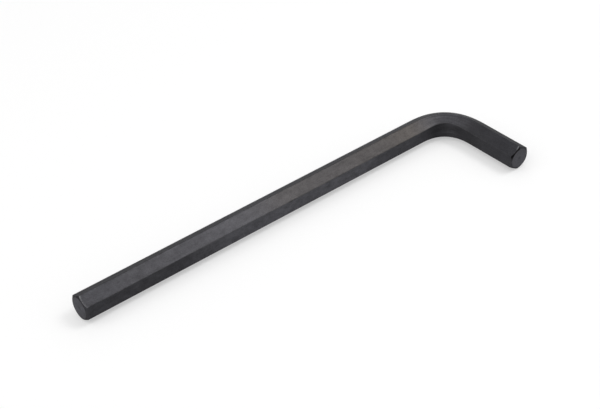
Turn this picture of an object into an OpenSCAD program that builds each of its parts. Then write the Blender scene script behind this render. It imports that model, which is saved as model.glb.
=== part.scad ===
// Hex key: one hexagonal steel bar, bent once at a right angle.
// The long arm lies along X and ends at low X.
// The short arm leaves the bend at high X and points to low Y.
// The key lies as it rests on a table, on its lowest edges, with the floor at Z = 0.

/* [Bar] */
// Size of the key, measured across two opposite flats of the hexagon
across_flats = 8; // [7:0.1:12]
// Width of the narrow land that blunts each of the six long edges
edge_land = 0.22; // [0.1:0.02:0.8]

/* [Arms] */
// Overall length of the long arm, from its tip to the outer flat of the short arm
long_arm = 158; // [90:1:240]
// Overall length of the short arm, from its tip to the outer flat of the long arm
short_arm = 38.8; // [34:0.1:60]

/* [Bend] */
// How far before the crossing of the two arms' axes the bend starts, and how far after it the bend ends
bend_start = 16; // [12:0.5:20]
// How much tighter the bend is in its middle than at its ends, where 2 makes it a round arc
bend_power = 2.7; // [2:0.1:3.2]
// How far each inner edge spreads upwards or downwards, in the middle of the bend
bend_spread = 0.6; // [0:0.05:1.2]
// How far the inner flat is pressed into the bar, in the middle of the bend
bend_press = 0.3; // [0:0.05:1.2]
// How far the outer flat is pushed out, in the middle of the bend
bend_bulge = 0.2; // [0:0.05:0.8]

/* [Tips] */
// How far in from the flats the round edge of each end face lies
tip_step = 0.25; // [0.1:0.05:0.8]
// Slope of the turned chamfer, measured from the end face
tip_angle = 30; // [20:1:50]

/* [Hidden] */

// Sides of the round tips
$fn = 96;

// Flats of the bar, and the points of its section: one at each end of each flat
FLATS = 6;
POINTS = 2 * FLATS;
// Steps round the bend
BEND_STEPS = 30;

half = across_flats / 2;
// Half the height of each flat, between the lands
half_flat = half * tan(30) - edge_land * tan(30);
// Distance of each land from the bar's axis
edge_r = half / cos(30) - edge_land / 2 * tan(30);
// Straight length of each arm, from its tip to the start of the bend
long_straight = long_arm - half - bend_start;
short_straight = short_arm - half - bend_start;
// Radius of each round end face
tip_r = half - tip_step;

// Centre of the bend, with the key's outline centred on X and Y
bend_x = long_arm / 2 - half - bend_start;
bend_y = short_arm / 2 - half - bend_start;

// Section across the bar, flat by flat: X points out of the bend, and one land is at the very bottom
bar_points = [
    for (flat = [0:FLATS - 1], end = [-1, 1])
        let (turn = flat * 360 / FLATS)
        [
            half * cos(turn) - end * half_flat * sin(turn),
            half * sin(turn) + end * half_flat * cos(turn)
        ]
];

// Distance of the bar's axis from the centre of the bend, at this angle round it
function axis_r(turn) =
    bend_start / pow(pow(cos(turn), bend_power) + pow(sin(turn), bend_power), 1 / bend_power);

// Direction that points out of the bend there, square to the bar's axis
function outward(turn) =
    atan2(pow(sin(turn), bend_power - 1), pow(cos(turn), bend_power - 1));

// How much the section gives at this angle round the bend: none at the arms, and 1 in the middle
function give(turn) = pow(sin(2 * turn), 2);

// One point of the section, moved as the cold bend moves it: the top and bottom lands stay in place
function bent(point, amount) =
    abs(point.x) < half / 2 ? point :
    point.x > 0 ? [point.x + amount * bend_bulge, point.y] :
    [point.x + amount * bend_press, point.y + amount * bend_spread * sign(point.y)];

// The section at this angle round the bend, as points in space
function bend_ring(turn) = [
    for (point = bar_points)
        let (moved = bent(point, give(turn)))
        [
            axis_r(turn) * cos(turn) + moved.x * cos(outward(turn)),
            axis_r(turn) * sin(turn) + moved.x * sin(outward(turn)),
            moved.y
        ]
];

// Straight arm along Z, with its turned chamfer at Z = 0
module arm(length) {
    intersection() {
        linear_extrude(height = length)
            polygon(bar_points);
        cylinder(h = length, r1 = tip_r, r2 = tip_r + length / tan(tip_angle));
    }
}

// Quarter turn of the bar about Z, from the short arm to the long arm
module bend() {
    first_end = [for (k = [POINTS - 1:-1:0]) k];
    last_end = [for (k = [0:POINTS - 1]) BEND_STEPS * POINTS + k];
    skin = [
        for (ring = [0:BEND_STEPS - 1], k = [0:POINTS - 1])
            let (a = ring * POINTS + k)
            let (b = ring * POINTS + (k + 1) % POINTS)
            each [[a, b, a + POINTS], [b, b + POINTS, a + POINTS]]
    ];
    polyhedron(
        points = [for (ring = [0:BEND_STEPS]) each bend_ring(90 * ring / BEND_STEPS)],
        faces = [first_end, last_end, each skin]
    );
}

// The whole key, with its bend about the point bend_x, bend_y
module hex_key() {
    color([0.17, 0.17, 0.18])
        translate([bend_x, bend_y, edge_r]) {
            bend();
            translate([-long_straight, bend_start, 0])
                rotate([0, 90, 0])
                    rotate([0, 0, 90])
                        arm(long_straight);
            translate([bend_start, -short_straight, 0])
                rotate([-90, 0, 0])
                    arm(short_straight);
        }
}

hex_key();
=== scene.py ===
"""Hex key: one blackened hexagonal bar, cut, turned at both tips and bent once, on a white table."""

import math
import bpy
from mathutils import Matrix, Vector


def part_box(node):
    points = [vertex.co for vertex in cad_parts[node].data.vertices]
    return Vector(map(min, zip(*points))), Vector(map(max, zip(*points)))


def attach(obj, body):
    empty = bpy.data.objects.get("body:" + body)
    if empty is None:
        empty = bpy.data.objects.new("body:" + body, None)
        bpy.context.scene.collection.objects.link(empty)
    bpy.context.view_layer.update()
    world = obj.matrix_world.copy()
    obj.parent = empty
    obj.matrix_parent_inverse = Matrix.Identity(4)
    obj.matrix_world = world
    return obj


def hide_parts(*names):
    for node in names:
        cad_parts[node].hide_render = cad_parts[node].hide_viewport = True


bl_info = {
    "name": "Hex Key",
    "version": (1, 0, 0),
    "blender": (4, 5, 0),
    "location": "3D Viewport > Sidebar > Hex Key",
    "description": "Builds a hex key from a straight hexagonal bar that is turned at its tips and bent once",
    "category": "Add Mesh",
}

import bpy
from mathutils import Matrix, Vector

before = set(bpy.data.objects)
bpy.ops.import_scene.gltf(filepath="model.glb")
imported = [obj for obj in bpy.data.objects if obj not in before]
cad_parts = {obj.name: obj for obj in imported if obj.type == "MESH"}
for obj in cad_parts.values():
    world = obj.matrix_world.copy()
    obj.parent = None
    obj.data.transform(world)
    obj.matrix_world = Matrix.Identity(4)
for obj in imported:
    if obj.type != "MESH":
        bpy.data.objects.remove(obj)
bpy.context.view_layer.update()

# What the CAD model calls its node and its body
NODE = "hex_key"
BODY = "root"

MM = 0.001
MICRON = 0.000001
# Turns metres into millimetres
PER_MM = 1 / MM

# The CAD box, from just after loading, and the key's own corners
LOW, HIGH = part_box(NODE)

# Turn from one side of the hexagon to the next
SIDE_TURN = math.radians(60)

# Sizes of the bar that the box doesn't give
ACROSS_FLATS = 8 * MM
HALF_FLAT_RATIO = math.tan(SIDE_TURN / 2)
CORNER_RATIO = 1 / math.cos(SIDE_TURN / 2)
# The edge radius that brings the bar's corners down to the height of the box
EDGE_RADIUS = (ACROSS_FLATS * CORNER_RATIO - (HIGH.z - LOW.z)) / 2 / (CORNER_RATIO - 1)

# Columns of faces round the bar, and the share of each side that is flat
COLUMNS = 96
FLAT_SHARE = 5 / 8
# Where the plain bar stops and the rings of a tip begin, from the end face
TIP_REACH = 1 * MM
# Places along a small round, and the rings of an end face, as shares of their run
ROUND_STEPS = (0, 0.25, 0.5, 0.75, 1)
FACE_RINGS = (0.75, 0.5, 0.25, 0)

# The soft lamps: name, power in watts, side as a share of the lamp size, and direction from the key
LAMPS = (
    ("main_lamp", 2.1, 0.3, (0.45, -0.21, 0.87)),
    ("top_lamp", 1.6, 1, (0, 0, 1)),
    ("left_lamp", 3.9, 1, (-0.75, 0.1, 0.65)),
    ("right_lamp", 1.2, 1, (0.55, 0.55, 0.63)),
    ("front_lamp", 1.8, 1, (0.65, -0.6, 0.45)),
)

# Stops along the bar, from the end face of the long arm: place in metres, and lightness there.
# They were tuned until renders from the photograph's side matched it, so they are partly the oxide's uneven
# tone and partly painted light and shade.
# The first run is for every flat, and the second comes on top of it where a flat faces into the bend, and is
# painted shade in the bend.
OXIDE_TONE_AND_LIGHT_RUN = (
    (0.04, 1.06),
    (0.055, 1.2),
    (0.076, 1.24),
    (0.084, 1.14),
    (0.124, 1.18),
    (0.133, 1.38),
    (0.14, 1.36),
    (0.146, 1.02),
    (0.154, 1.42),
    (0.163, 0.88),
)
INNER_LIGHT_AND_SHADE_RUN = (
    (0.034, 0.68),
    (0.052, 1.05),
    (0.108, 1.22),
    (0.118, 0.88),
    (0.134, 0.71),
    (0.145, 0.43),
    (0.158, 0.6),
    (0.168, 0.94),
)
# The same along the upper flat, with a share of the warm oxide in place of a lightness: partly the oxide's
# warm tint and partly painted warm light on that lit flat
WARM_TINT_AND_LIGHT_RUN = (
    (0.052, 0.14),
    (0.066, 0.4),
    (0.077, 0.64),
    (0.105, 0.64),
    (0.134, 1.05),
    (0.144, 0.3),
    (0.15, 0),
)

# Sides of the bar, counted upwards from the outer flat: the one facing into the bend, and the one above it
INNER_SIDE = 3
UPPER_SIDE = 2
# How far the finish of the long tip reaches, and that of the patchy long arm
LONG_TIP_END = 10 * MM
PATCHY_END = 140 * MM

# Noise patterns: scale, detail and roughness. Places are in millimetres for the first four, then in metres
DRAWN_NOISE = (3.2, 3, 0.6)
STREAK_NOISE = (2.1, 2, 0.6)
TURNING_NOISE = (7, 3, 0.7)
CHATTER_NOISE = (2.2, 2, 0.5)
MOTTLE_NOISE = (260, 2, 0.5)
PATCH_NOISE = (520, 3, 0.65)
SPECKLE_NOISE = (2600, 2, 0.6)
TINT_NOISE = (22, 1, 0.5)
NOISE_MEAN = 0.5

# How many times as long as they are wide the drawn marks and the streaks are
DRAWN_STRETCH = 40
STREAK_STRETCH = 25
# Factors on the patches' place along the bar, and on the chatter's place round the tip
PATCH_SQUEEZE = 0.7
CHATTER_SQUEEZE = 0.09
# Turned rings end at this radius, and one tone fills the middle
TURNED_MIDDLE = 0.8 * MM

# How far each pattern swings the lightness, and what is added on the long arm and in the bend
MOTTLE_TONE = 0.5
PATCH_TONE = 0.15
LONG_PATCH_TONE = 1.2
SPECKLE_TONE = 0.9
GRAIN_TONE = 0.35
STREAK_TONE = 0.25
BEND_STREAK_TONE = 1.5
CHATTER_TONE = 0.4
# How far the tint swings the share of warm oxide, and its limit either way
TINT_SWING = 0.8
TINT_LIMIT = 0.2

# The lighter disc of an end face and its soft rim in millimetres, and how the disc and chamfer differ in
# tone, where the chamfer's darker tone is painted shade
DISC_RADIUS = 3.62
DISC_FADE = 0.12
DISC_LIFT = 0.4
LONG_DISC_LIFT = 0.35
CHAMFER_SHADE = 0.3
# The black arc at the short tip is painted shade on the chamfer's inner, upper side: its lowest height above
# the bar's axis and how far it cuts into the disc, both in millimetres, and how much it darkens the chamfer
SHADE_ARC_FLOOR = 0.8
SHADE_ARC_INSET = 0.1
SHADE_ARC_DIM = 0.67

# Rubbing and a painted highlight along the rims of the upper flat: what it is at a rim, and how much of it
# goes with each metre from there
RUB_HIGHLIGHT_AT_RIM = 1.4
RUB_HIGHLIGHT_LOSS = 2400
# Towards the bar's top edge it grows from this height in millimetres, by this much with each one
RUB_HIGHLIGHT_CORNER = 3.7
RUB_HIGHLIGHT_CORNER_GAIN = 2
# At the long tip it comes in specks, and less of it is at the top edge
RUB_HIGHLIGHT_SPECKLE = 1.6
RUB_HIGHLIGHT_SPECKLE_FLOOR = 0.5
LONG_CORNER_LOSS = 0.6

# What wears an edge: the edge itself and two patterns, less a floor, and then sharpened
WEAR_EDGE = 1.3
WEAR_MOTTLE = 1.6
WEAR_SPECKLE = 0.8
WEAR_FLOOR = 0.75
WEAR_CONTRAST = 3

# How far each pattern swings the roughness, and how much smoother worn and turned places are
MOTTLE_ROUGHNESS = 0.22
GRAIN_ROUGHNESS = 0.18
PATCH_ROUGHNESS = 0.2
WORN_SMOOTHNESS = 0.14
TURNED_SMOOTHNESS = 0.08
SMOOTHEST = 0.2
ROUGHEST = 0.9

# Height of each pattern's relief
GRAIN_RELIEF = 2.2 * MICRON
SPECKLE_RELIEF = 2.4 * MICRON
PATCH_RELIEF = 5 * MICRON
MOTTLE_RELIEF = 8 * MICRON
STREAK_RELIEF = 10 * MICRON

OXIDE_IOR = 1.45

# Half the side of the table, and the depths that the camera sees between, in metres
TABLE_HALF = 4
NEAREST = 0.01
FARTHEST = 20

# The photograph's frame
IMAGE_WIDTH = 600
IMAGE_HEIGHT = 409
SENSOR_WIDTH = 36


class HexKeySizes(bpy.types.PropertyGroup):
    """Sizes of the bar, its bend and its tips."""

    across_flats: bpy.props.FloatProperty(
        name="Across Flats",
        description="Size of the key, between two opposite flats",
        default=ACROSS_FLATS,
        min=0.001,
        unit="LENGTH",
        precision=5,
    )
    edge_radius: bpy.props.FloatProperty(
        name="Edge Radius",
        description="Radius of the bar's six long edges",
        default=EDGE_RADIUS,
        min=0,
        unit="LENGTH",
        precision=5,
    )
    long_arm: bpy.props.FloatProperty(
        name="Long Arm",
        description="Overall length of the long arm",
        default=HIGH.x - LOW.x,
        min=0.02,
        unit="LENGTH",
        precision=5,
    )
    short_arm: bpy.props.FloatProperty(
        name="Short Arm",
        description="Overall length of the short arm",
        default=HIGH.y - LOW.y,
        min=0.02,
        unit="LENGTH",
        precision=5,
    )
    bend_start: bpy.props.FloatProperty(
        name="Bend Start",
        description="How far before the crossing of the arms' axes the bend starts",
        default=16 * MM,
        min=0.001,
        unit="LENGTH",
        precision=5,
    )
    bend_power: bpy.props.FloatProperty(
        name="Bend Power",
        description="How much tighter the bend is in its middle, where 2 makes it a round arc",
        default=2.7,
        min=2,
        max=4,
    )
    bend_spread: bpy.props.FloatProperty(
        name="Bend Spread",
        description="How far each inner edge spreads in the middle of the bend",
        default=0.6 * MM,
        min=0,
        unit="LENGTH",
        precision=5,
    )
    bend_press: bpy.props.FloatProperty(
        name="Bend Press",
        description="How far the inner flat is pressed into the bar in the middle of the bend",
        default=0.3 * MM,
        min=0,
        unit="LENGTH",
        precision=5,
    )
    bend_bulge: bpy.props.FloatProperty(
        name="Bend Bulge",
        description="How far the outer flat is pushed out in the middle of the bend",
        default=0.2 * MM,
        min=0,
        unit="LENGTH",
        precision=5,
    )
    tip_step: bpy.props.FloatProperty(
        name="Tip Step",
        description="How far in from the flats the round edge of each end face lies",
        default=0.25 * MM,
        min=0,
        unit="LENGTH",
        precision=5,
    )
    tip_angle: bpy.props.FloatProperty(
        name="Tip Angle",
        description="Slope of the turned chamfer, from the end face",
        default=math.radians(30),
        min=0,
        max=math.radians(60),
        unit="ROTATION",
    )
    tip_round: bpy.props.FloatProperty(
        name="Tip Round",
        description="Reach of the small rounds at both rims of the chamfer",
        default=0.07 * MM,
        min=0,
        unit="LENGTH",
        precision=5,
    )
    spacing: bpy.props.FloatProperty(
        name="Ring Spacing",
        description="Distance between the rings of faces along the bar",
        default=0.5 * MM,
        min=0.0001,
        unit="LENGTH",
        precision=5,
    )


class HexKeyFinish(bpy.types.PropertyGroup):
    """Colours and depths of the blackened steel."""

    oxide: bpy.props.FloatVectorProperty(
        name="Oxide",
        description="Colour of the black oxide",
        default=(0.0510, 0.0508, 0.0568),
        size=3,
        min=0,
        max=1,
        subtype="COLOR",
    )
    # Also mixed in along the upper flat, where its warmth is partly painted light
    warm_oxide: bpy.props.FloatVectorProperty(
        name="Warm Oxide",
        description="Colour of the oxide where it is tinted brown",
        default=(0.0570, 0.0522, 0.0498),
        size=3,
        min=0,
        max=1,
        subtype="COLOR",
    )
    bare: bpy.props.FloatVectorProperty(
        name="Bare Steel",
        description="Colour of the steel where an edge is worn through",
        default=(0.10, 0.098, 0.096),
        size=3,
        min=0,
        max=1,
        subtype="COLOR",
    )
    # Partly rubbed oxide and partly a painted highlight, on the upper flat's rims only
    rubbed_and_highlight: bpy.props.FloatVectorProperty(
        name="Rubbed Oxide",
        description="Colour of the oxide along the rubbed rims of the tips",
        default=(0.17, 0.172, 0.18),
        size=3,
        min=0,
        max=1,
        subtype="COLOR",
    )
    roughness: bpy.props.FloatProperty(
        name="Roughness",
        description="Mean roughness of the oxide",
        default=0.46,
        min=0,
        max=1,
        subtype="FACTOR",
    )
    metal: bpy.props.FloatProperty(
        name="Metal",
        description="How much of the surface reflects as a metal",
        default=0.75,
        min=0,
        max=1,
        subtype="FACTOR",
    )
    grazing: bpy.props.FloatProperty(
        name="Grazing",
        description="Strength of the reflection at grazing angles",
        default=0.35,
        min=0,
        max=1,
        subtype="FACTOR",
    )
    wear: bpy.props.FloatProperty(
        name="Edge Wear",
        description="How much of the edges is worn through",
        default=0.35,
        min=0,
        max=1,
        subtype="FACTOR",
    )


class HexKeyStage(bpy.types.PropertyGroup):
    """The table, the lights and the photograph's camera."""

    azimuth: bpy.props.FloatProperty(
        name="Azimuth",
        description="Direction in which the camera looks, from +Y towards +X",
        default=math.radians(39.229),
        unit="ROTATION",
    )
    elevation: bpy.props.FloatProperty(
        name="Elevation",
        description="How steeply the camera looks down",
        default=math.radians(37.249),
        unit="ROTATION",
    )
    roll: bpy.props.FloatProperty(
        name="Roll",
        description="Turn of the camera about its own axis",
        default=math.radians(-1.595),
        unit="ROTATION",
    )
    distance: bpy.props.FloatProperty(
        name="Distance",
        description="Depth of the crossing of the arms' axes in front of the camera",
        default=465.224 * MM,
        unit="LENGTH",
        precision=5,
    )
    focal_pixels: bpy.props.FloatProperty(
        name="Focal Length in Pixels",
        description="Focal length of the camera, in pixels of the photograph",
        default=1306.026,
        subtype="PIXEL",
    )
    crossing_pixel: bpy.props.FloatVectorProperty(
        name="Crossing Pixel",
        description="Where the crossing of the arms' axes shows in the photograph",
        default=(446.149, 116.151),
        size=2,
        subtype="COORDINATES",
    )
    table_white: bpy.props.FloatProperty(
        name="Table White",
        description="Diffuse colour of the table, as it lights the key",
        default=0.85,
        min=0,
        max=1,
        subtype="FACTOR",
    )
    shown_white: bpy.props.FloatProperty(
        name="Shown White",
        description="Level of the table away from the key, as the camera and reflections see it",
        default=1,
        min=0,
        max=3,
    )
    shown_glow: bpy.props.FloatProperty(
        name="Shown Glow",
        description="Share of the shown white that stays in the key's shadow",
        default=0.436,
        min=0,
        max=1,
        subtype="FACTOR",
    )
    sky: bpy.props.FloatProperty(
        name="Sky",
        description="Strength of the even light from all round",
        default=0.39,
        min=0,
    )
    lamp_size: bpy.props.FloatProperty(
        name="Lamp Size",
        description="Side of the larger square lamps",
        default=1.15,
        min=0.01,
        unit="LENGTH",
    )
    lamp_distance: bpy.props.FloatProperty(
        name="Lamp Distance",
        description="Distance of each lamp from the key",
        default=0.95,
        min=0.1,
        unit="LENGTH",
    )
    lamp_level: bpy.props.FloatProperty(
        name="Lamp Level",
        description="Factor on the power of every lamp",
        default=1,
        min=0,
    )


def own_properties(group):
    """The properties that a property group defines itself."""
    return [item for item in group.bl_rna.properties if item.identifier not in ("name", "rna_type")]


class Number:
    """A number in a node tree. Each Python operator on it adds one Math node."""

    def __init__(self, net, socket):
        self.net = net
        self.socket = socket

    def math(self, operation, *values):
        made = self.net.node("ShaderNodeMath", {"operation": operation}, dict(enumerate(values)))
        return Number(self.net, made.outputs[0])

    def __add__(self, other):
        return self.math("ADD", self, other)

    def __radd__(self, other):
        return self.math("ADD", other, self)

    def __sub__(self, other):
        return self.math("SUBTRACT", self, other)

    def __rsub__(self, other):
        return self.math("SUBTRACT", other, self)

    def __mul__(self, other):
        return self.math("MULTIPLY", self, other)

    def __rmul__(self, other):
        return self.math("MULTIPLY", other, self)

    def __truediv__(self, other):
        return self.math("DIVIDE", self, other)

    def __rtruediv__(self, other):
        return self.math("DIVIDE", other, self)

    def __pow__(self, other):
        return self.math("POWER", self, other)

    def __neg__(self):
        return self.math("SUBTRACT", 0, self)

    def __abs__(self):
        return self.math("ABSOLUTE", self)

    def __gt__(self, other):
        return self.math("GREATER_THAN", self, other)

    def __lt__(self, other):
        return self.math("LESS_THAN", self, other)

    def sin(self):
        return self.math("SINE", self)

    def cos(self):
        return self.math("COSINE", self)

    def tan(self):
        return self.math("TANGENT", self)

    def sign(self):
        return self.math("SIGN", self)

    def nearest(self):
        return self.math("ROUND", self)

    def least(self, other):
        return self.math("MAXIMUM", self, other)

    def most(self, other):
        return self.math("MINIMUM", self, other)

    def between(self, low, high):
        return self.least(low).most(high)

    def equals(self, other):
        """1 where this whole number is the other one."""
        return self.math("COMPARE", self, other, 0.5)

    def swing(self, depth):
        """A noise pattern that swings about 0 by half this depth either way."""
        return (self - NOISE_MEAN) * depth

    def where(self, mask):
        """This factor where the mask is 1, and no change where it is 0."""
        return 1 + (self - 1) * mask

    def along_stops(self, stops):
        """The value at this place between stops, each a place and a value."""
        value = stops[0][1]
        for (start, first), (end, last) in zip(stops, stops[1:]):
            value = value + ((self - start) / (end - start)).between(0, 1) * (last - first)
        return value


def hypotenuse(x, y):
    """Length of the line from the axis to a point."""
    return (x * x + y * y) ** 0.5


def sides_round(x, y):
    """How far round the axis a point is, in sides of the hexagon from the outer flat."""
    return x.math("ARCTAN2", y, x) / SIDE_TURN


class Net:
    """Adds nodes to one node tree."""

    def __init__(self, tree):
        self.tree = tree

    def node(self, kind, settings=None, sockets=None):
        """One node: its settings are made first, then its sockets are filled or linked."""
        made = self.tree.nodes.new(kind)
        for name, value in (settings or {}).items():
            setattr(made, name, value)
        for key, value in (sockets or {}).items():
            self.fill(made.inputs[key], value)
        return made

    def fill(self, socket, value):
        if isinstance(value, Number):
            value = value.socket
        if isinstance(value, bpy.types.NodeSocket):
            self.tree.links.new(value, socket)
        else:
            socket.default_value = value

    def number(self, kind, settings=None, sockets=None):
        """The number that a new node gives."""
        return Number(self, self.node(kind, settings, sockets).outputs[0])

    def split(self, vector):
        """The three numbers of a vector."""
        parts = self.node("ShaderNodeSeparateXYZ", None, {0: vector})
        return tuple(Number(self, output) for output in parts.outputs)

    def join(self, x, y, z):
        """The vector of three numbers."""
        return self.node("ShaderNodeCombineXYZ", None, {0: x, 1: y, 2: z}).outputs[0]


class Bar(Net):
    """The geometry tree that makes the key: a straight bar, its turned tips and then its bend.

    In the straight bar X points out of the later bend, Y up, and Z along the bar from the long tip.
    """

    def __init__(self, sizes):
        super().__init__(bpy.data.node_groups.new("Hex Key Bar", "GeometryNodeTree"))
        face = self.tree.interface
        for item in own_properties(sizes):
            face.new_socket(item.name, in_out="INPUT", socket_type="NodeSocketFloat")
        face.new_socket("Crossing", in_out="INPUT", socket_type="NodeSocketVector")
        face.new_socket("Steel", in_out="INPUT", socket_type="NodeSocketMaterial")
        face.new_socket("Key", in_out="OUTPUT", socket_type="NodeSocketGeometry")
        self.given = self.node("NodeGroupInput")
        self.work_out_sizes()
        geometry = self.straight_bar()
        geometry = self.turned_tips(geometry)
        geometry = self.marks(geometry)
        geometry = self.bend(geometry)
        self.close(geometry)

    def size(self, name):
        """One of the tree's own inputs."""
        return Number(self, self.given.outputs[name])

    def work_out_sizes(self):
        """The bar's own sizes, and the lengths of its parts before it is bent."""
        self.half = self.size("Across Flats") / 2
        self.edge_radius = self.size("Edge Radius")
        self.bend_start = self.size("Bend Start")
        self.long_straight = self.size("Long Arm") - self.half - self.bend_start
        self.short_straight = self.size("Short Arm") - self.half - self.bend_start
        self.bend_length = self.bend_start * (math.pi / 2)
        self.length = self.long_straight + self.bend_length + self.short_straight

    def store(self, geometry, name, value, kind="FLOAT", selection=True):
        """Geometry with a new attribute."""
        settings = {"data_type": kind, "domain": "POINT"}
        sockets = {"Geometry": geometry, "Name": name, "Value": value, "Selection": selection}
        return self.node("GeometryNodeStoreNamedAttribute", settings, sockets).outputs[0]

    def place(self, geometry, position, selection=True):
        """Geometry moved to new positions."""
        sockets = {"Geometry": geometry, "Position": position, "Selection": selection}
        return self.node("GeometryNodeSetPosition", None, sockets).outputs[0]

    def position(self):
        """The three numbers of each point's position."""
        return self.split(self.node("GeometryNodeInputPosition").outputs[0])

    def section(self):
        """The point of the bar's section that each column stands on."""
        settings = {"data_type": "FLOAT_VECTOR"}
        stored = self.node("GeometryNodeInputNamedAttribute", settings, {"Name": "section"})
        return self.split(stored.outputs[0])[:2]

    def straight_bar(self):
        """An open tube of faces, with the section of the rounded hexagon."""
        plain_length = self.length - 2 * TIP_REACH
        sockets = {
            "Vertices": COLUMNS,
            "Side Segments": plain_length / self.size("Ring Spacing"),
            "Radius": self.half,
            "Depth": plain_length,
        }
        tube = self.node("GeometryNodeMeshCylinder", {"fill_type": "NONE"}, sockets)
        x, y, z = self.position()
        turn = sides_round(x, y)
        side = turn.nearest()
        # From -1 at one edge of a side to 1 at the other
        step = (turn - side) * 2
        on_flat = (step / FLAT_SHARE).between(-1, 1)
        # Columns crowd towards both ends of a flat
        across = on_flat * (1.5 - 0.5 * on_flat * on_flat)
        on_edge = (abs(step) - FLAT_SHARE).least(0) / (1 - FLAT_SHARE)
        lean = on_edge * step.sign() * (SIDE_TURN / 2)
        core = self.half - self.edge_radius
        out = core + self.edge_radius * lean.cos()
        over = across * core * HALF_FLAT_RATIO + self.edge_radius * lean.sin()
        spin = side * SIDE_TURN
        section_x = out * spin.cos() - over * spin.sin()
        section_y = out * spin.sin() + over * spin.cos()
        section = self.join(section_x, section_y, 0)
        geometry = self.store(tube.outputs["Mesh"], "section", section, "FLOAT_VECTOR")
        geometry = self.store(geometry, "edge", on_edge)
        section_x, section_y = self.section()
        return self.place(geometry, self.join(section_x, section_y, z + self.length / 2))

    def turned_tips(self, geometry):
        """Rings from the flats over the chamfer and the end face to its centre, at both tips."""
        section_x, section_y = self.section()
        corner = hypotenuse(section_x, section_y)
        z = self.position()[2]
        far_tip = z > self.length / 2
        slope = self.size("Tip Angle")
        reach = self.size("Tip Round")
        face_radius = self.half - self.size("Tip Step")
        edge_depth = (corner - face_radius) * slope.tan()
        down = (reach * slope.cos(), reach * slope.sin())
        flat_rim = (
            (corner, edge_depth + reach),
            (corner, edge_depth),
            (corner - down[0], edge_depth - down[1]),
        )
        face_rim = (
            (face_radius + down[0], down[1]),
            (face_radius, 0),
            (face_radius - reach, 0),
        )
        # Each ring has a radius, a depth from the end face, and how much it is an edge
        rings = []
        for rim in (flat_rim, face_rim):
            rings += [(*self.on_round(rim, share), 4 * share * (1 - share)) for share in ROUND_STEPS]
        rings += [(face_radius * share, 0, 0) for share in FACE_RINGS]
        open_edges = self.number("GeometryNodeInputMeshEdgeNeighbors").equals(1)
        for radius, depth, edge in rings:
            sockets = {"Mesh": geometry, "Selection": open_edges, "Offset Scale": 0}
            grown = self.node("GeometryNodeExtrudeMesh", {"mode": "EDGES"}, sockets)
            along = depth + far_tip * (self.length - 2 * depth)
            share = radius / corner
            spot = self.join(section_x * share, section_y * share, along)
            geometry = self.place(grown.outputs["Mesh"], spot, grown.outputs["Top"])
            geometry = self.store(geometry, "edge", edge, selection=grown.outputs["Top"])
        sockets = {"Geometry": geometry, "Distance": MICRON}
        return self.node("GeometryNodeMergeByDistance", None, sockets).outputs[0]

    def on_round(self, corner, share):
        """A place on the curve that cuts a corner, given by the points before, at and after it."""
        weights = ((1 - share) ** 2, 2 * share * (1 - share), share**2)
        radius = sum(weight * point[0] for weight, point in zip(weights, corner))
        depth = sum(weight * point[1] for weight, point in zip(weights, corner))
        return radius, depth

    def marks(self, geometry):
        """Attributes for the finish: the place on the straight bar, and where the lathe has cut."""
        x, y, z = self.position()
        corner = hypotenuse(*self.section())
        turned = ((corner - hypotenuse(x, y)) / self.size("Tip Round")).between(0, 1)
        geometry = self.store(geometry, "turned", turned)
        edge_depth = (corner - self.half + self.size("Tip Step")) * self.size("Tip Angle").tan()
        geometry = self.store(geometry, "from_rim", z.most(self.length - z) - edge_depth)
        return self.store(geometry, "straight", self.join(x, y, z), "FLOAT_VECTOR")

    def bend(self, geometry):
        """The cold bend: a quarter turn, with the inner flat pressed in and its edges spread."""
        x, y, z = self.position()
        turn = ((z - self.long_straight) / self.bend_start).between(0, math.pi / 2)
        give = (turn * 2).sin() ** 2
        # The top and bottom edges lie within this of the middle, and don't give
        still = self.edge_radius / 2
        inner = (-x - still).least(0) / (self.half - still)
        outer = (x - still).least(0) / (self.half - still)
        out = x + give * (inner * self.size("Bend Press") + outer * self.size("Bend Bulge"))
        upward = (y / (self.half * HALF_FLAT_RATIO)).between(-1, 1)
        up = y + give * inner * upward * self.size("Bend Spread")
        before = (self.long_straight - z).least(0)
        after = (z - self.long_straight - self.bend_length).least(0)
        cross_x, cross_y, cross_z = self.split(self.given.outputs["Crossing"])
        power = self.size("Bend Power")
        along, across = turn.sin().least(0), turn.cos().least(0)
        axis_radius = self.bend_start / (along**power + across**power) ** (1 / power)
        out_x, out_y = along ** (power - 1), across ** (power - 1)
        out = out / hypotenuse(out_x, out_y)
        spot_x = cross_x - self.bend_start + axis_radius * along + out * out_x - before
        spot_y = cross_y - self.bend_start + axis_radius * across + out * out_y - after
        geometry = self.store(geometry, "give", give)
        return self.place(geometry, self.join(spot_x, spot_y, cross_z + up))

    def close(self, geometry):
        """Smooth faces, plain mesh, material and the tree's output."""
        geometry = self.node("GeometryNodeSetShadeSmooth", None, {"Geometry": geometry}).outputs[0]
        sockets = {"Geometry": geometry, "Name": "section"}
        geometry = self.node("GeometryNodeRemoveAttribute", None, sockets).outputs[0]
        geometry = self.node("GeometryNodeRealizeInstances", None, {"Geometry": geometry}).outputs[0]
        sockets = {"Geometry": geometry, "Material": self.given.outputs["Steel"]}
        geometry = self.node("GeometryNodeSetMaterial", None, sockets).outputs[0]
        self.node("NodeGroupOutput", None, {"Key": geometry})


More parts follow.
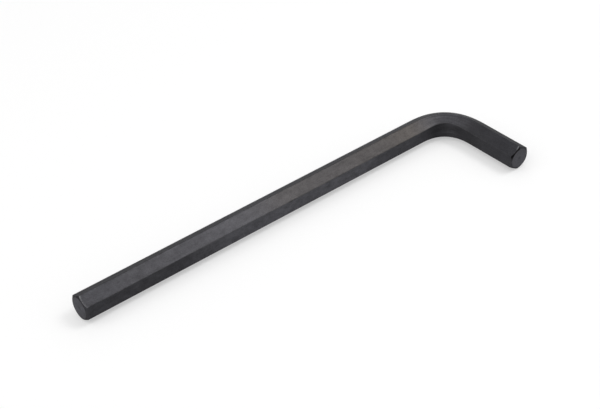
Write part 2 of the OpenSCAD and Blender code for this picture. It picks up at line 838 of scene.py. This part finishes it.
class Steel(Net):
    """Blackened drawn steel, with patterns that follow the straight bar through its bend, and with light and
    shade painted into its colour in places.
    """

    def __init__(self, look):
        self.material = bpy.data.materials.new("black_oxide")
        self.material.use_nodes = True
        super().__init__(self.material.node_tree)
        self.tree.nodes.clear()
        self.look = look
        self.straight = self.attribute("straight", "Vector")
        self.x, self.y, self.z = self.split(self.straight)
        self.radius = hypotenuse(self.x, self.y)
        self.edge = self.mark("edge")
        self.turned = self.mark("turned")
        self.from_rim = self.mark("from_rim")
        self.give = self.mark("give")
        self.find_places()
        self.make_patterns()
        self.shade()

    def attribute(self, name, output):
        """What the bar's geometry stored under this name."""
        return self.node("ShaderNodeAttribute", {"attribute_name": name}).outputs[output]

    def mark(self, name):
        """A stored number."""
        return Number(self, self.attribute(name, "Fac"))

    def noise(self, vector, scale, detail, roughness):
        """A noise pattern of 0 to 1."""
        sockets = {"Vector": vector, "Scale": scale, "Detail": detail, "Roughness": roughness}
        return self.number("ShaderNodeTexNoise", None, sockets)

    def mix(self, share, first, second):
        """The first colour, with this share of the second."""
        settings = {"data_type": "RGBA", "blend_type": "MIX"}
        return self.node("ShaderNodeMix", settings, {0: share, 6: first, 7: second}).outputs[2]

    def scale_color(self, color, amount):
        """A colour times a number."""
        grey = self.node("ShaderNodeCombineColor", None, {0: amount, 1: amount, 2: amount}).outputs[0]
        settings = {"data_type": "RGBA", "blend_type": "MULTIPLY"}
        return self.node("ShaderNodeMix", settings, {0: 1, 6: color, 7: grey}).outputs[2]

    def find_places(self):
        """Masks that are 1 in one place of the bar and 0 elsewhere."""
        side = sides_round(self.x, self.y).nearest()
        self.plain = 1 - self.turned
        self.inner = abs(side).equals(INNER_SIDE) * self.plain
        self.upper = side.equals(UPPER_SIDE) * self.plain
        self.long_tip = self.z < LONG_TIP_END
        # The arc of painted shade on the short tip's chamfer
        self.painted_shade_arc = (self.y * PER_MM - SHADE_ARC_FLOOR).between(0, 1) * (self.x < 0) * (1 - self.long_tip)
        inside = DISC_RADIUS - SHADE_ARC_INSET * self.painted_shade_arc - self.radius * PER_MM
        self.disc = inside.between(0, DISC_FADE) / DISC_FADE * self.turned

    def make_patterns(self):
        """The noise patterns that the finish is mixed from."""
        x = self.x * PER_MM
        y = self.y * PER_MM
        drawn = self.noise(self.join(x, y, self.z * (PER_MM / DRAWN_STRETCH)), *DRAWN_NOISE)
        self.streaks = self.noise(self.join(x, y, self.z * (PER_MM / STREAK_STRETCH)), *STREAK_NOISE)
        self.mottle = self.noise(self.straight, *MOTTLE_NOISE)
        self.patches = self.noise(self.join(self.x, self.y, self.z * PATCH_SQUEEZE), *PATCH_NOISE)
        self.speckle = self.noise(self.straight, *SPECKLE_NOISE)
        self.tint = self.noise(self.straight, *TINT_NOISE)
        rings = self.join(self.radius.least(TURNED_MIDDLE) * PER_MM, 0, 0)
        turning = self.noise(rings, *TURNING_NOISE)
        squeeze = PER_MM * CHATTER_SQUEEZE
        ripples = self.join(self.radius * PER_MM, self.x * squeeze, self.y * squeeze)
        self.chatter = self.noise(ripples, *CHATTER_NOISE)
        self.grain = drawn * self.plain + turning * self.turned

    def oxide(self):
        """The oxide's colour, browner in places, and warmer along the upper flat, where the warmth is partly
        the oxide's tint and partly painted light.
        """
        tinted = self.tint.swing(TINT_SWING).between(-TINT_LIMIT, TINT_LIMIT)
        warm_tint_and_light = tinted + self.upper * self.z.along_stops(WARM_TINT_AND_LIGHT_RUN)
        return self.mix(warm_tint_and_light.between(0, 1), (*self.look.oxide, 1), (*self.look.warm_oxide, 1))

    def lightness(self):
        """A factor on the oxide's colour, with light and shade painted along the flats, in the bend and on
        the chamfers.
        """
        patchy = PATCH_TONE + LONG_PATCH_TONE * (self.z < PATCHY_END)
        streaky = STREAK_TONE + BEND_STREAK_TONE * self.give
        level = 1 + self.mottle.swing(MOTTLE_TONE) + self.patches.swing(patchy)
        level = level + self.speckle.swing(SPECKLE_TONE) + self.grain.swing(GRAIN_TONE)
        level = level + self.streaks.swing(streaky) + self.chatter.swing(CHATTER_TONE) * self.turned
        # Partly the oxide's uneven tone and partly painted light and shade along the flats
        level = level * self.z.along_stops(OXIDE_TONE_AND_LIGHT_RUN).where(self.plain)
        # Painted shade where a flat faces into the bend, darkest in the middle of the bend
        level = level * self.z.along_stops(INNER_LIGHT_AND_SHADE_RUN).where(self.inner)
        lift = (DISC_LIFT + LONG_DISC_LIFT * self.long_tip) * self.disc
        # Painted shade on the chamfers, deepest in the arc at the short tip
        chamfer_shade = (self.turned - self.disc).least(0) * (CHAMFER_SHADE + SHADE_ARC_DIM * self.painted_shade_arc)
        return level * (1 + lift - chamfer_shade)

    def rubbed_and_highlight(self):
        """How much of the rims of the tips is rubbed and painted with a highlight, on the upper flat only."""
        by_rim = (RUB_HIGHLIGHT_AT_RIM - self.from_rim * RUB_HIGHLIGHT_LOSS).between(0, 1) * self.upper
        corner = ((self.y * PER_MM - RUB_HIGHLIGHT_CORNER) * RUB_HIGHLIGHT_CORNER_GAIN).between(0, 1)
        specks = self.long_tip * (self.speckle * RUB_HIGHLIGHT_SPECKLE - RUB_HIGHLIGHT_SPECKLE_FLOOR)
        return by_rim * (specks + corner * (1 - self.long_tip * LONG_CORNER_LOSS)).between(0, 1)

    def worn(self):
        """How much of the oxide is worn off the edges."""
        rub = self.edge * WEAR_EDGE + self.mottle.swing(WEAR_MOTTLE) + self.speckle.swing(WEAR_SPECKLE)
        return ((rub - WEAR_FLOOR) * WEAR_CONTRAST).between(0, 1) * self.look.wear

    def roughness(self, worn):
        """Roughness of the oxide, and of what lies under it."""
        level = self.look.roughness + self.mottle.swing(MOTTLE_ROUGHNESS)
        level = level + self.grain.swing(GRAIN_ROUGHNESS) + self.patches.swing(PATCH_ROUGHNESS)
        level = level - WORN_SMOOTHNESS * worn - TURNED_SMOOTHNESS * self.turned
        return level.between(SMOOTHEST, ROUGHEST)

    def relief(self):
        """Height of the surface's small relief, in metres."""
        height = self.grain * GRAIN_RELIEF + self.speckle * SPECKLE_RELIEF
        height = height + self.patches * PATCH_RELIEF + self.mottle * MOTTLE_RELIEF
        return height + self.streaks * self.give * STREAK_RELIEF

    def shade(self):
        """The shader and the tree's output."""
        worn = self.worn()
        color = self.scale_color(self.oxide(), self.lightness())
        # Rubbed oxide and a painted highlight on the rims of the upper flat
        color = self.mix(self.rubbed_and_highlight(), color, (*self.look.rubbed_and_highlight, 1))
        color = self.mix(worn, color, (*self.look.bare, 1))
        bump = self.node("ShaderNodeBump", None, {"Strength": 1, "Distance": 1, "Height": self.relief()})
        sockets = {
            "Base Color": color,
            "Roughness": self.roughness(worn),
            "Metallic": self.look.metal,
            "IOR": OXIDE_IOR,
            "Specular Tint": (self.look.grazing, self.look.grazing, self.look.grazing, 1),
            "Normal": bump.outputs[0],
        }
        shader = self.node("ShaderNodeBsdfPrincipled", None, sockets)
        self.node("ShaderNodeOutputMaterial", None, {"Surface": shader.outputs[0]})


class Table(Net):
    """White table: plain white for the light, and the photograph's white for camera and gloss."""

    def __init__(self, look):
        self.material = bpy.data.materials.new("white_table")
        self.material.use_nodes = True
        super().__init__(self.material.node_tree)
        self.tree.nodes.clear()
        plain = self.white(look.table_white, 0)
        shown = self.white(look.shown_white * (1 - look.shown_glow), look.shown_white * look.shown_glow)
        mixed = self.node("ShaderNodeMixShader", None, {0: self.seen_directly(), 1: plain, 2: shown})
        self.node("ShaderNodeOutputMaterial", None, {"Surface": mixed.outputs[0]})

    def white(self, level, glow):
        """A matt white, with some light of its own."""
        sockets = {
            "Base Color": (level, level, level, 1),
            "Roughness": 1,
            "Specular IOR Level": 0,
            "Emission Color": (1, 1, 1, 1),
            "Emission Strength": glow,
        }
        return self.node("ShaderNodeBsdfPrincipled", None, sockets).outputs[0]

    def seen_directly(self):
        """1 for the camera and for reflections, and 0 for light that falls on things."""
        path = self.node("ShaderNodeLightPath")
        seen = Number(self, path.outputs["Is Camera Ray"])
        for name in ("Is Glossy Ray", "Is Transmission Ray"):
            seen = seen.least(Number(self, path.outputs[name]))
        return seen


def modifier_input(tree, name):
    """The identifier of a tree's input socket."""
    for item in tree.interface.items_tree:
        if item.item_type == "SOCKET" and item.in_out == "INPUT" and item.name == name:
            return item.identifier
    raise KeyError(name)


def crossing(sizes):
    """Where the axes of the two arms cross."""
    half = sizes.across_flats / 2
    return Vector((HIGH.x - half, HIGH.y - half, (LOW.z + HIGH.z) / 2))


def baked(context, tree, values):
    """The plain mesh that the bar's tree makes from these values."""
    holder = bpy.data.objects.new("bar_builder", bpy.data.meshes.new("bar_builder"))
    context.scene.collection.objects.link(holder)
    modifier = holder.modifiers.new("Bar", "NODES")
    modifier.node_group = tree
    for name, value in values.items():
        modifier[modifier_input(tree, name)] = value
    context.view_layer.update()
    evaluated = holder.evaluated_get(context.evaluated_depsgraph_get())
    mesh = bpy.data.meshes.new_from_object(evaluated)
    holder.modifiers.remove(modifier)
    bpy.data.objects.remove(holder)
    if not mesh.polygons:
        raise RuntimeError("The bar has no faces")
    # The tube's node leaves an empty slot ahead of the steel
    while mesh.materials[0] is None:
        mesh.materials.pop(index=0)
    return mesh


class HEXKEY_OT_bar(bpy.types.Operator):
    """Make the bar with its turned tips and its bend, in blackened steel"""

    bl_idname = "hexkey.bar"
    bl_label = "Make Bar"
    bl_options = {"REGISTER", "UNDO"}

    def execute(self, context):
        sizes = context.scene.hex_key_sizes
        values = {item.name: getattr(sizes, item.identifier) for item in own_properties(sizes)}
        values["Crossing"] = tuple(crossing(sizes))
        values["Steel"] = Steel(context.scene.hex_key_finish).material
        mesh = baked(context, Bar(sizes).tree, values)
        mesh.name = "bent_bar"
        piece = bpy.data.objects.new("bent_bar", mesh)
        context.scene.collection.objects.link(piece)
        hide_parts(NODE)
        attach(piece, BODY)
        return {"FINISHED"}


class HEXKEY_OT_stage(bpy.types.Operator):
    """Make the white table, the soft lights and the camera"""

    bl_idname = "hexkey.stage"
    bl_label = "Make Stage"
    bl_options = {"REGISTER", "UNDO"}

    def execute(self, context):
        look = context.scene.hex_key_stage
        make_table(context, look)
        make_sky(context, look)
        make_lamps(context, look)
        make_camera(context, look)
        context.scene.view_settings.view_transform = "Standard"
        return {"FINISHED"}


def make_table(context, look):
    """One large white sheet that the key lies on."""
    mesh = bpy.data.meshes.new("table")
    signs = ((-1, -1), (1, -1), (1, 1), (-1, 1))
    corners = [(across * TABLE_HALF, along * TABLE_HALF, LOW.z) for across, along in signs]
    mesh.from_pydata(corners, [], [(0, 1, 2, 3)])
    mesh.materials.append(Table(look).material)
    table = bpy.data.objects.new("table", mesh)
    context.scene.collection.objects.link(table)


def make_sky(context, look):
    """Even light from all round."""
    world = bpy.data.worlds.new("even_light")
    world.use_nodes = True
    context.scene.world = world
    net = Net(world.node_tree)
    net.tree.nodes.clear()
    shader = net.node("ShaderNodeBackground", None, {"Color": (1, 1, 1, 1), "Strength": look.sky})
    net.node("ShaderNodeOutputWorld", None, {"Surface": shader.outputs[0]})


def make_lamps(context, look):
    """Large square lamps round the key, all facing it."""
    target = Vector((0, 0, LOW.z))
    for name, power, share, direction in LAMPS:
        data = bpy.data.lights.new(name, "AREA")
        data.energy = power * look.lamp_level
        data.size = look.lamp_size * share
        lamp = bpy.data.objects.new(name, data)
        aim = Vector(direction).normalized()
        lamp.location = target + aim * look.lamp_distance
        lamp.rotation_euler = (-aim).to_track_quat("-Z", "Y").to_euler()
        context.scene.collection.objects.link(lamp)


def make_camera(context, look):
    """The photograph's camera, placed so that the crossing of the arms' axes falls on its pixel."""
    data = bpy.data.cameras.new("photo_camera")
    data.sensor_fit = "HORIZONTAL"
    data.sensor_width = SENSOR_WIDTH
    data.lens = look.focal_pixels * SENSOR_WIDTH / IMAGE_WIDTH
    data.clip_start = NEAREST
    data.clip_end = FARTHEST
    azimuth, elevation, roll = look.azimuth, look.elevation, look.roll
    forward = Vector(
        (
            math.sin(azimuth) * math.cos(elevation),
            math.cos(azimuth) * math.cos(elevation),
            -math.sin(elevation),
        )
    )
    level_right = Vector((math.cos(azimuth), -math.sin(azimuth), 0))
    level_up = level_right.cross(forward)
    right = math.cos(roll) * level_right + math.sin(roll) * level_up
    up = math.cos(roll) * level_up - math.sin(roll) * level_right
    pixel = look.crossing_pixel
    across = (pixel[0] - IMAGE_WIDTH / 2) / look.focal_pixels * look.distance
    over = (IMAGE_HEIGHT / 2 - pixel[1]) / look.focal_pixels * look.distance
    spot = crossing(context.scene.hex_key_sizes) - right * across - up * over - forward * look.distance
    camera = bpy.data.objects.new("photo_camera", data)
    camera.matrix_world = Matrix.Translation(spot) @ Matrix((right, up, -forward)).transposed().to_4x4()
    context.scene.collection.objects.link(camera)
    context.scene.camera = camera


class HEXKEY_PT_sidebar(bpy.types.Panel):
    """The hex key's sizes, finish and stage"""

    bl_idname = "HEXKEY_PT_sidebar"
    bl_label = "Hex Key"
    bl_space_type = "VIEW_3D"
    bl_region_type = "UI"
    bl_category = "Hex Key"

    def draw(self, context):
        scene = context.scene
        groups = (
            (scene.hex_key_sizes, HEXKEY_OT_bar.bl_idname),
            (scene.hex_key_finish, None),
            (scene.hex_key_stage, HEXKEY_OT_stage.bl_idname),
        )
        for group, operator in groups:
            box = self.layout.box()
            for item in own_properties(group):
                box.prop(group, item.identifier)
            if operator:
                box.operator(operator)


CLASSES = (HexKeySizes, HexKeyFinish, HexKeyStage, HEXKEY_OT_bar, HEXKEY_OT_stage, HEXKEY_PT_sidebar)


def register():
    for one in CLASSES:
        bpy.utils.register_class(one)
    bpy.types.Scene.hex_key_sizes = bpy.props.PointerProperty(type=HexKeySizes)
    bpy.types.Scene.hex_key_finish = bpy.props.PointerProperty(type=HexKeyFinish)
    bpy.types.Scene.hex_key_stage = bpy.props.PointerProperty(type=HexKeyStage)


def unregister():
    del bpy.types.Scene.hex_key_stage
    del bpy.types.Scene.hex_key_finish
    del bpy.types.Scene.hex_key_sizes
    for one in reversed(CLASSES):
        bpy.utils.unregister_class(one)


def main():
    register()
    bpy.ops.hexkey.bar()
    bpy.ops.hexkey.stage()


if __name__ == "__main__":
    main()
